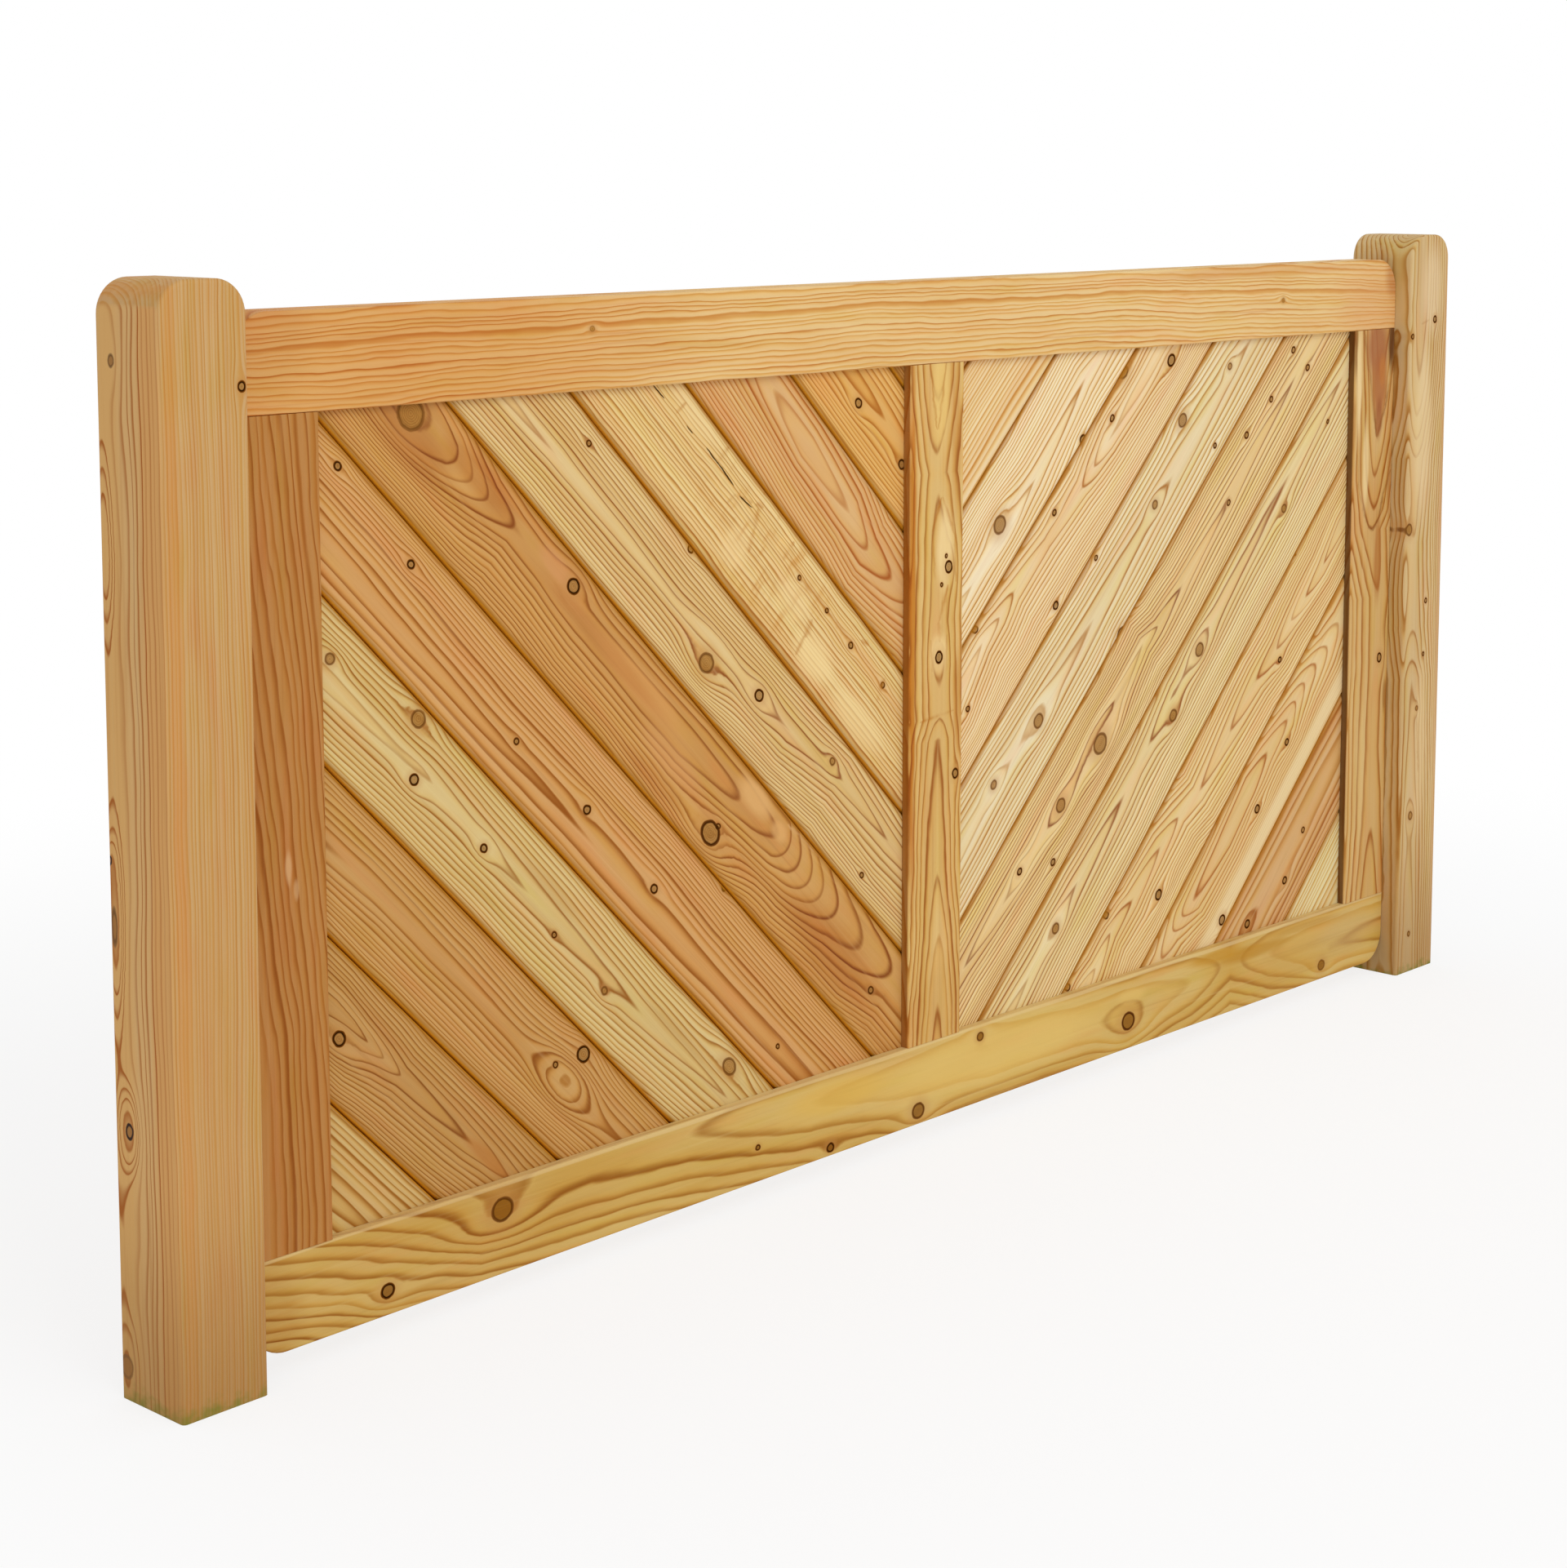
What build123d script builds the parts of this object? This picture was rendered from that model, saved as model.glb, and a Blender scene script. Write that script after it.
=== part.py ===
from build123d import *
import os
from math import ceil, cos, radians, sin

# Wooden garden fence panel: a framed field of diagonal boards between two posts.
# Millimetres, X along the fence, Y through it (front is -Y), Z up, Z = 0 at the
# bottom of the posts.

# frame
frame_width = 1800.0
frame_height = 900.0
frame_thickness = 42.0
rail_height = 87.0
stile_width = 90.0
mullion_width = 86.0
mullion_shift = 5.0          # centre line of the mullion, right of the middle
rail_corner_radius = 38.0    # round corners at the four outer ends of the rails
frame_arris = 2.0            # planed edge of rails, stiles and mullion

# posts
post_size = 88.0             # square section
post_foot = 20.0             # post below the frame
post_rise = 30.0             # post above the frame
post_shoulder_radius = 30.0  # round left and right shoulders of the top
post_arris = 4.0

# diagonal boards, tongue and groove
board_cover = 106.0          # width that one board covers
board_thickness = 22.0
board_slope = 45.0
board_round = 4.0            # soft long edges, front and back
board_gap = 1.5              # open line between two boards
corner_joint_drop = 22.0     # the highest joint meets the mullion's edge this far under the top rail
tongue_thickness = 6.0
tongue_length = 8.0
tongue_clearance = 0.3

# how the boards sit in the frame
seat_depth = 12.0            # groove in the inner edges of the frame
seat_end_clearance = 2.0     # room for the boards to swell
seat_side_clearance = 0.3

# mortise and tenon of stiles and mullion into the rails
tenon_thickness = 14.0
tenon_length = 28.0
tenon_shoulder = 16.0        # set in from each edge of the stile
mortise_clearance = 0.3
mortise_end_clearance = 2.0

# dowels between the frame and the posts
dowel_diameter = 12.0
dowel_length = 80.0
dowel_end_chamfer = 1.0
dowel_clearance = 0.2        # on the radius
dowel_end_clearance = 1.0
dowel_wood_over = 3.0        # wood left between a dowel and the rail's corner round
stile_dowels = 2             # between the two rail dowels, evenly spaced

# levels and edges that follow
frame_bottom = post_foot
frame_top = frame_bottom + frame_height
post_height = frame_top + post_rise
half_frame = frame_width / 2
opening_bottom = frame_bottom + rail_height
opening_top = frame_top - rail_height
mullion_left = mullion_shift - mullion_width / 2
mullion_right = mullion_shift + mullion_width / 2
openings = {
    "left": (-half_frame + stile_width, mullion_left),
    "right": (mullion_right, half_frame - stile_width),
}


def block(left, right, bottom, top, thickness):
    """A box through the middle plane of the fence."""
    face = Pos((left + right) / 2, (bottom + top) / 2) * Rectangle(right - left, top - bottom)
    return extrude(Plane.XZ * face, amount=thickness / 2, both=True)


def front_and_back_edges(solid):
    """The outlines of the front and back faces."""
    faces = solid.faces().filter_by(Axis.Y).sort_by(Axis.Y)
    return faces[0].edges() + faces[-1].edges()


def board_seat(opening):
    """The groove around one opening, cut out of every frame member that it meets."""
    left, right = opening
    return block(
        left - seat_depth, right + seat_depth,
        opening_bottom - seat_depth, opening_top + seat_depth,
        board_thickness + 2 * seat_side_clearance,
    )


seats = [board_seat(opening) for opening in openings.values()]


def cut_seats(member):
    for seat in seats:
        member = member - seat
    return member


def tenon_block(centre, width, clearance=0.0, end_clearance=0.0):
    """Both tenons of one upright as a bar that runs through it into both rails."""
    half = width / 2 - tenon_shoulder + clearance
    reach = tenon_length + end_clearance
    return block(
        centre - half, centre + half,
        opening_bottom - reach, opening_top + reach,
        tenon_thickness + 2 * clearance,
    )


uprights = {
    "stile_left": (-half_frame + stile_width / 2, stile_width),
    "mullion": (mullion_shift, mullion_width),
    "stile_right": (half_frame - stile_width / 2, stile_width),
}

# dowels: one in each rail end under its corner round, the rest in the stile's edge
rail_dowel_inset = rail_corner_radius + dowel_wood_over + dowel_diameter / 2
lowest_dowel = frame_bottom + rail_dowel_inset
highest_dowel = frame_top - rail_dowel_inset
dowel_step = (highest_dowel - lowest_dowel) / (stile_dowels + 1)
dowel_levels = [lowest_dowel + dowel_step * i for i in range(stile_dowels + 2)]


def dowel_bores(side):
    """Bores for the dowels across the joint of the frame with one post."""
    radius = dowel_diameter / 2 + dowel_clearance
    depth = dowel_length + 2 * dowel_end_clearance
    at_joint = [Pos(side * half_frame, 0, level) * Rot(0, 90, 0) for level in dowel_levels]
    return [place * Cylinder(radius, depth) for place in at_joint]


bores = {side: dowel_bores(side) for side in (-1, 1)}


def drill(member):
    for side_bores in bores.values():
        for bore in side_bores:
            member = member - bore
    return member


def make_rail(bottom, outer_edge):
    """One rail over the whole width; outer_edge is -1 for its top, 0 for its bottom."""
    rail = block(-half_frame, half_frame, bottom, bottom + rail_height, frame_thickness)
    corners = rail.edges().filter_by(Axis.Y).group_by(Axis.Z)[outer_edge]
    rail = fillet(corners, rail_corner_radius)
    rail = fillet(front_and_back_edges(rail), frame_arris)
    for centre, width in uprights.values():
        rail = rail - tenon_block(centre, width, mortise_clearance, mortise_end_clearance)
    return drill(cut_seats(rail))


def make_upright(centre, width):
    """A stile or the mullion, square-shouldered between the rails, with a tenon at each end."""
    left, right = centre - width / 2, centre + width / 2
    upright = block(left, right, opening_bottom, opening_top, frame_thickness)
    upright = fillet(front_and_back_edges(upright).filter_by(Axis.Z), frame_arris)
    return drill(cut_seats(upright) + tenon_block(centre, width))


def make_post(side):
    """A square post with round shoulders at the left and right of its top."""
    inner = side * half_frame
    outer = inner + side * post_size
    post = block(min(inner, outer), max(inner, outer), 0, post_height, post_size)
    shoulders = post.edges().filter_by(Axis.Y).group_by(Axis.Z)[-1]
    post = fillet(shoulders, post_shoulder_radius)
    sawn_foot = 2                                           # the foot's front and back edges stay sharp
    return drill(fillet(front_and_back_edges(post).sort_by(Axis.Z)[sawn_foot:], post_arris))


def make_dowels(side):
    """The dowels between the frame and one post, as separate solids."""
    peg = Cylinder(dowel_diameter / 2, dowel_length)
    peg = chamfer(peg.edges().filter_by(GeomType.CIRCLE), dowel_end_chamfer)
    return Compound([Pos(side * half_frame, 0, level) * Rot(0, 90, 0) * peg for level in dowel_levels])


def board_section():
    """Section of a board: soft edges, a tongue above and a groove below."""
    half = (board_cover - board_gap) / 2
    section = Rectangle(2 * half, board_thickness)
    section = fillet(section.vertices(), board_round)
    reach = board_gap + tongue_length
    section = section + Pos(half + reach / 2, 0) * Rectangle(reach, tongue_thickness)
    depth = tongue_length + tongue_clearance
    groove = Rectangle(depth, tongue_thickness + 2 * tongue_clearance)
    return section - Pos(-half + depth / 2, 0) * groove


def make_boards(side):
    """All boards of one field, from the upper corner at the mullion down.

    side is -1 for the left field, whose boards fall to the right, and 1 for the
    right field, whose boards rise to the right.
    """
    left, right = openings["left" if side < 0 else "right"]
    slope = radians(board_slope)
    run = Vector(cos(slope), 0, side * sin(slope))          # along a board
    across = Vector(-side * sin(slope), 0, cos(slope))      # up over the boards
    mullion_edge = right if side < 0 else left
    highest_joint = Vector(mullion_edge, 0, opening_top - corner_joint_drop).dot(across)
    corners = [Vector(x, 0, z) for x in (left, right) for z in (opening_bottom, opening_top)]
    levels = [corner.dot(across) for corner in corners]
    boards_above = ceil((max(levels) - highest_joint) / board_cover)
    boards_below = ceil((highest_joint - min(levels)) / board_cover)

    reach = seat_depth - seat_end_clearance
    field = block(
        left - reach, right + reach,
        opening_bottom - reach, opening_top + reach, frame_thickness,
    )
    middle = field.center()
    boards = []
    for step in range(boards_above + boards_below):
        level = highest_joint + (boards_above - step - 0.5) * board_cover
        origin = middle + across * (level - middle.dot(across))
        section = Plane(origin=origin, x_dir=across, z_dir=run) * board_section()
        plank = extrude(section, amount=frame_width / 2, both=True)
        boards.append(plank & field)
    return boards


os.makedirs("parts", exist_ok=True)

nodes = {
    "post_left": make_post(-1),
    "post_right": make_post(1),
    "bottom_rail": make_rail(frame_bottom, 0),
    "top_rail": make_rail(frame_top - rail_height, -1),
    "post_dowels_left": make_dowels(-1),
    "post_dowels_right": make_dowels(1),
}
for name, (centre, width) in uprights.items():
    nodes[name] = make_upright(centre, width)
for field_name, side in (("left", -1), ("right", 1)):
    for number, board in enumerate(make_boards(side), start=1):
        nodes[f"{field_name}_board_{number:02d}"] = board

for name, solid in nodes.items():
    export_step(solid, f"parts/{name}.step")
    print(name, f"{solid.volume / 1000:.0f} cm3")
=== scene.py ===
import math
from types import SimpleNamespace

import bmesh
import bpy
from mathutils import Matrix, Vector

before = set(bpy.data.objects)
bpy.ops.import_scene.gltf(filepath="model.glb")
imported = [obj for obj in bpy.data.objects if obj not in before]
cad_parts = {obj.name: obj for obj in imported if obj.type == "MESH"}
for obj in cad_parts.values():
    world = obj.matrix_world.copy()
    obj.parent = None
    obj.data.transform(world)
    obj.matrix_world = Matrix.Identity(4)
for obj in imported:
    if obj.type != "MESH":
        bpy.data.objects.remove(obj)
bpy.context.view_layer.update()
print("frame loaded:", len(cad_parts), "pieces")

# Lengths of the wood are millimetres, x to the right, z up from the post feet, as seen from the front.
# Colours are written 0 to 255, as they look on a screen.


def paint(colour):
    channels = [c / 255 for c in colour]
    linear = [c / 12.92 if c <= 0.04045 else ((c + 0.055) / 1.055) ** 2.4 for c in channels]
    return (*linear, 1.0)


def changed(colour, change, most=250):
    return [min(most, c + more) for c, more in zip(colour, change)]


def emptyTree(owner):
    owner.use_nodes = True
    owner.node_tree.nodes.clear()
    return owner.node_tree


def addNode(tree, kind, values=(), **settings):
    # values go to the sockets by name or in order, each a socket to link or a plain value
    node = tree.nodes.new(kind)
    for name, value in settings.items():
        setattr(node, name, value)
    for place, value in values.items() if isinstance(values, dict) else enumerate(values):
        if isinstance(value, bpy.types.NodeSocket):
            tree.links.new(value, node.inputs[place])
        else:
            node.inputs[place].default_value = value
    return node


# The next helpers put their node into the tree of the sockets that they are given.


def treeOf(values):
    return next(value.id_data for value in values if isinstance(value, bpy.types.NodeSocket))


def calc(operation, *values, clamp=False):
    return addNode(treeOf(values), "ShaderNodeMath", values, operation=operation, use_clamp=clamp).outputs[0]


def times(first, second):
    return calc("MULTIPLY", first, second)


def timesPlus(value, factor, more):
    return calc("MULTIPLY_ADD", value, factor, more)


def ramp(*values, **settings):
    # value, start and end, and then low and high, of an even step
    return addNode(treeOf(values), "ShaderNodeMapRange", values, **settings).outputs[0]


def ease(value, start, end, low=0.0, high=1.0):
    # smooth step from low to high between start and end
    return ramp(value, start, end, low, high, interpolation_type="SMOOTHSTEP")


def band(value, start, end, soft):
    # one between start and end, with soft edges
    return times(ease(value, start - soft, start + soft), ease(value, end + soft, end - soft))


def blend(amount, first, second, mode="MIX"):
    # each colour is a socket or a written colour
    first, second = [paint(c) if isinstance(c, (tuple, list)) else c for c in (first, second)]
    values = {0: amount, 6: first, 7: second}
    node = addNode(treeOf(values.values()), "ShaderNodeMix", values, data_type="RGBA", blend_type=mode)
    return node.outputs[2]


def stretched(position, lengths, seed, detail=1.0, rough=0.5):
    # noise of these lengths along, through and across the grain, from -1 to 1
    tree = position.id_data
    values = (position, [1 / length for length in lengths], seed)
    sized = addNode(tree, "ShaderNodeVectorMath", values, operation="MULTIPLY_ADD").outputs[0]
    values = {"Vector": sized, "Scale": 1.0, "Detail": detail, "Roughness": rough}
    return timesPlus(addNode(tree, "ShaderNodeTexNoise", values).outputs[0], 2.0, -1.0)


def newGroup(name, inputs, outputs):
    # every socket is a number, apart from the two colours of a stain
    group = bpy.data.node_groups.new(name, "ShaderNodeTree")
    for names, direction in ((inputs, "INPUT"), (outputs, "OUTPUT")):
        for socketName in names:
            kind = "NodeSocketColor" if socketName in ("Base", "Stain") else "NodeSocketFloat"
            group.interface.new_socket(name=socketName, in_out=direction, socket_type=kind)
    return group, group.nodes.new("NodeGroupInput").outputs, group.nodes.new("NodeGroupOutput").inputs


knotState = ("Flow", "Lift", "Rim", "Heart", "Old", "Halo", "Inner")

knotShape = {
    "fadeAlong": 0.45,      # how fast the bend in the rings dies out, in radii squared
    "fadeAcross": 1.0,
    "fadeParting": 1.6,
    "parting": 0.95,        # how far the rings are pushed aside
    "rimAt": 0.88,          # in radii
    "rimWidth": 0.95,       # in millimetres
    "rimShare": 0.1,        # and this share of the radius
    "heartEdge": (1.08, 0.8),
    "haloEdge": (2.6, 0.8),
    "innerRings": 3.1,      # radians to the millimetre
}


def makeKnotGroup():
    # one knot: the rings part and flow round it, it has a rim, a heart and a stained ring of wood about it
    shape = knotShape
    own = ("At Along", "At Across", "Radius", "Length", "Darkness", "Swirl", "Reach", "Shown")
    group, given, result = newGroup("Knot", ("Along", "Across", *knotState, *own), knotState)
    radius = given["Radius"]
    across = calc("SUBTRACT", given["Across"], given["At Across"])
    across = calc("DIVIDE", across, radius)
    along = calc("SUBTRACT", given["Along"], given["At Along"])
    along = calc("DIVIDE", calc("DIVIDE", along, radius), given["Length"])
    alongSquare = times(along, along)
    acrossSquare = times(across, across)
    away = calc("SQRT", calc("ADD", alongSquare, acrossSquare))
    reachSquare = times(given["Reach"], given["Reach"])

    def hill(fade):
        spread = timesPlus(acrossSquare, fade, times(alongSquare, shape["fadeAlong"]))
        return calc("EXPONENT", times(calc("DIVIDE", spread, reachSquare), -1.0))

    push = times(times(across, radius), hill(shape["fadeParting"]))
    rimWidth = timesPlus(calc("DIVIDE", 1.0, radius), shape["rimWidth"], shape["rimShare"])
    fromRim = calc("ABSOLUTE", calc("SUBTRACT", away, shape["rimAt"]))
    fromRim = calc("DIVIDE", fromRim, rimWidth)
    heart = times(ease(away, *shape["heartEdge"]), given["Shown"])
    turns = calc("SINE", times(times(away, radius), shape["innerRings"]))
    marks = {
        "Rim": times(ease(fromRim, 1.0, 0.4), given["Darkness"]),
        "Heart": heart,
        "Old": times(heart, given["Darkness"]),
        "Halo": times(ease(away, *shape["haloEdge"]), given["Shown"]),
        "Inner": times(timesPlus(turns, 0.5, 0.5), heart),
    }
    group.links.new(timesPlus(push, -shape["parting"], given["Flow"]), result["Flow"])
    lift = timesPlus(hill(shape["fadeAcross"]), given["Swirl"], given["Lift"])
    group.links.new(lift, result["Lift"])
    for name, value in marks.items():
        group.links.new(calc("MAXIMUM", value, given[name]), result[name])
    return group


ringShape = {
    "driftWaves": 0.47,     # waves to the ring in which the spacing changes
    "toneWaves": 0.21,      # and in which the tone of several rings does
    "lateStart": 0.4,       # where in a ring its late line begins
    "thinStart": 0.24,      # later by this near the pith
    "lateFull": 0.9,
    "lateEnd": 0.86,        # the line ends between this and the next ring
    "lateCurve": 1.5,
    "ownTone": 0.4,         # share of a ring's tone that is its own
}


def makeRingGroup():
    # from a count of rings to the dark late line, the warm tone before it and the ring's own tone
    shape = ringShape
    inputs, outputs = ("Rings", "Uneven", "Faint", "Thin"), ("Line", "Warm", "Ring Tone")
    group, given, result = newGroup("Rings", inputs, outputs)

    def ringNoise(scale):
        values = {"W": given["Rings"], "Scale": scale, "Detail": 1.0}
        return addNode(group, "ShaderNodeTexNoise", values, noise_dimensions="1D").outputs[0]

    drift = timesPlus(ringNoise(shape["driftWaves"]), 2.0, -1.0)
    count = timesPlus(drift, given["Uneven"], given["Rings"])
    part = calc("FRACT", count)
    whole = calc("FLOOR", count)
    ownValue = addNode(group, "ShaderNodeTexWhiteNoise", {"W": whole}, noise_dimensions="1D").outputs[0]
    start = timesPlus(given["Thin"], shape["thinStart"], shape["lateStart"])
    rise = calc("POWER", ease(part, start, shape["lateFull"]), shape["lateCurve"])
    fall = ease(part, 1.0, shape["lateEnd"])
    strength = ramp(ownValue, 0.0, 1.0, given["Faint"], 1.0)
    group.links.new(times(times(rise, fall), strength), result["Line"])
    warm = times(ease(part, 0.15, 0.85), fall)
    warm = times(warm, timesPlus(given["Thin"], -0.5, 1.0))
    group.links.new(warm, result["Warm"])
    bandTone = ease(ringNoise(shape["toneWaves"]), 0.42, 0.62)
    bandTone = times(bandTone, 1.0 - shape["ownTone"])
    group.links.new(timesPlus(ownValue, shape["ownTone"], bandTone), result["Ring Tone"])
    return group


def makeCrackGroup():
    # a stroke between two points, thin at both ends
    own = ("From Along", "From Across", "To Along", "To Across", "Width", "Core")
    group, given, result = newGroup("Crack", ("Along", "Across", "Crack", *own), ("Crack",))
    runAlong = calc("SUBTRACT", given["To Along"], given["From Along"])
    runAcross = calc("SUBTRACT", given["To Across"], given["From Across"])
    along = calc("SUBTRACT", given["Along"], given["From Along"])
    across = calc("SUBTRACT", given["Across"], given["From Across"])
    lengthSquare = timesPlus(runAlong, runAlong, times(runAcross, runAcross))
    dot = timesPlus(along, runAlong, times(across, runAcross))
    share = calc("DIVIDE", dot, lengthSquare, clamp=True)
    offAlong = calc("SUBTRACT", along, times(share, runAlong))
    offAcross = calc("SUBTRACT", across, times(share, runAcross))
    off = calc("SQRT", timesPlus(offAlong, offAlong, times(offAcross, offAcross)))
    taper = times(times(share, calc("SUBTRACT", 1.0, share)), 4.0)
    width = times(timesPlus(calc("SQRT", taper), 0.8, 0.2), given["Width"])
    dark = ease(calc("DIVIDE", off, width), 1.0, given["Core"])
    group.links.new(calc("MAXIMUM", dark, given["Crack"]), result["Crack"])
    return group


def makePatchGroup():
    # a soft stain of another colour, longer along the grain than across it
    own = ("At Along", "At Across", "Half Length", "Half Width", "Amount", "Stain")
    group, given, result = newGroup("Patch", ("Along", "Across", "Base", *own), ("Base",))
    along = calc("SUBTRACT", given["Along"], given["At Along"])
    along = calc("DIVIDE", along, given["Half Length"])
    across = calc("SUBTRACT", given["Across"], given["At Across"])
    across = calc("DIVIDE", across, given["Half Width"])
    away = calc("SQRT", timesPlus(along, along, times(across, across)))
    amount = times(ease(away, 1.25, 0.45), given["Amount"])
    group.links.new(blend(amount, given["Base"], given["Stain"]), result["Base"])
    return group


knotGroup = makeKnotGroup()
ringGroup = makeRingGroup()
crackGroup = makeCrackGroup()
patchGroup = makePatchGroup()
print("node groups made")

# the ways in which a piece's grain runs, as a turn about the Y axis
alongRail = 0.0
alongUpright = math.radians(90)
alongLeftBoards = math.radians(-45)
alongRightBoards = math.radians(45)

boardCover = 106.0
boardFront = -11.0

knotKinds = {
    # darkness of the rim, swirl in rings, reach in radii; a bend moves the rings and is not seen itself
    "ringed": {"darkness": 1.0, "swirl": -0.5, "reach": 2.6, "shown": 1.0},
    "sound": {"darkness": 0.5, "swirl": -0.7, "reach": 2.4, "shown": 1.0},
    "pin": {"darkness": 0.8, "swirl": 0.0, "reach": 2.4, "shown": 1.0},
    "bend": {"darkness": 0.0, "swirl": -3.0, "reach": 3.0, "shown": 0.0},
}

common = {
    "earlyDepth": (1.025, 1.072, 1.165),
    "lateDepth": (0.95, 0.83, 0.55),
    "warmShade": (253, 236, 190),
    "rosy": (4, -12, -4),       # changes of a piece's early colour
    "golden": (-6, 1, -20),
    "pale": (12, 24, 30),
    "palest": 252,
    "curled": (12, 12, 12),
    "cloudAmount": 0.25,
    "tintAmount": 0.6,
    "fibreAmount": 0.16,
    "thinFrom": 26.0,           # late lines thin out from this far beside the pith
    "thinTo": 4.0,
    "oldRim": (44, 22, 4),
    "soundRim": (120, 66, 14),
    "oldHeart": (178, 132, 72),
    "soundHeart": (188, 134, 58),
    "sideHeart": (150, 104, 54),
    "heartAmount": 0.78,
    "sideHeartAmount": 0.85,
    "innerLine": (128, 76, 30),
    "innerAmount": 0.55,
    "haloColour": (190, 134, 72),
    "outerFace": (42.0, 43.5),  # across a post, where its outer face begins
    "knotLength": 1.15,         # over its width
    "sideReach": 3.2,
    "veinColour": (166, 104, 40),
    "crackColour": (64, 34, 8),
    "mossColour": (112, 122, 36),
    "dampColour": (150, 104, 48),
    "dampHeight": 220.0,
    "roughness": 0.62,
    "shine": 0.12,
    "bump": 0.25,
    "bumpHeight": 0.0006,
}

jointShading = {
    # colours and widths of the painted shade at the grooves between the boards: saturated orange in the gap
    # for its warm bounced light, softer brown beside it and a band along each board's upper edge
    "left": {
        "colour": (205, 138, 22), "width": 3.0, "beside": (158, 101, 16), "besideAmount": 0.62, "reach": 9.0,
        "ragged": 1.6, "upper": 4.0, "upperAmount": 0.6, "upperColour": (168, 106, 20),
    },
    "right": {
        "colour": (188, 122, 20), "width": 2.2, "beside": (190, 134, 56), "besideAmount": 0.4, "reach": 7.0,
        "ragged": 2.5, "upper": 4.5, "upperAmount": 0.4, "upperColour": (176, 116, 36),
    },
}


def turned(turn, x, z):
    # from the front view to along and across the grain
    return x * math.cos(turn) + z * math.sin(turn), -x * math.sin(turn) + z * math.cos(turn)


def grainOf(tree, piece, turn):
    # how far a point lies along, through and across the grain, and the waves and fibres that many parts share
    centreAlong, centreAcross = turned(turn, *piece["centre"])
    frontFace = piece.get("frontFace", boardFront)
    placed = addNode(tree, "ShaderNodeMapping", {
        "Vector": addNode(tree, "ShaderNodeTexCoord").outputs["Object"], "Scale": (1000, 1000, 1000),
        "Rotation": (0, turn, 0), "Location": (-centreAlong, -frontFace, -centreAcross),
    }).outputs[0]
    along, through, across = addNode(tree, "ShaderNodeSeparateXYZ", (placed,)).outputs
    seed = piece["seed"]
    seedVector = (seed * 7.31, seed * 3.17, seed * 5.77)
    quick = stretched(placed, (60, 30, 16), seedVector, 2.0)

    def local(x, z):
        pointAlong, pointAcross = turned(turn, x, z)
        return pointAlong - centreAlong, pointAcross - centreAcross

    return SimpleNamespace(
        tree=tree, seed=seed, seedVector=seedVector, placed=placed, along=along, through=through,
        across=across, centreAlong=centreAlong, frontFace=frontFace, local=local, quick=quick,
        slow=stretched(placed, (230, 80, 60), seedVector),
        roughEdge=stretched(placed, (7, 9, 7), seedVector),
        fibre=stretched(placed, (60, 2.2, 1.8), seedVector, 2.0, 0.6),
        waved=timesPlus(quick, 3.0, across),
        outerFace=ease(across, *common["outerFace"]),
    )


def addKnot(grain, state, across, at, radius, looks):
    # lays one knot over those before it
    node = addNode(grain.tree, "ShaderNodeGroup", {
        "Along": grain.along, "Across": across, **state, "At Along": at[0], "At Across": at[1],
        "Radius": radius, "Length": looks["length"], "Darkness": looks["darkness"], "Swirl": looks["swirl"],
        "Reach": looks["reach"], "Shown": looks["shown"],
    }, node_tree=knotGroup)
    return {name: node.outputs[name] for name in knotState}


def frontKnots(grain, piece):
    state = dict.fromkeys(knotState, 0.0)
    across = calc("ADD", grain.roughEdge, grain.across)
    for x, z, radius, kind, *changes in piece.get("knots", ()):
        looks = {"length": common["knotLength"], **knotKinds[kind]}
        for change in changes:
            looks.update(change)
        state = addKnot(grain, state, across, grain.local(x, z), radius, looks)
    return state


def sideKnots(grain, piece):
    # knots on the outer face of a post, seen from its side
    state = dict.fromkeys(knotState, 0.0)
    across = calc("ADD", grain.through, grain.roughEdge)
    for y, z, radius, kind, length, swirl in piece["sideKnots"]:
        looks = {**knotKinds[kind], "length": length, "swirl": swirl, "reach": common["sideReach"]}
        state = addKnot(grain, state, across, (z - grain.centreAlong, y - grain.frontFace), radius, looks)
    return state


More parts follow.
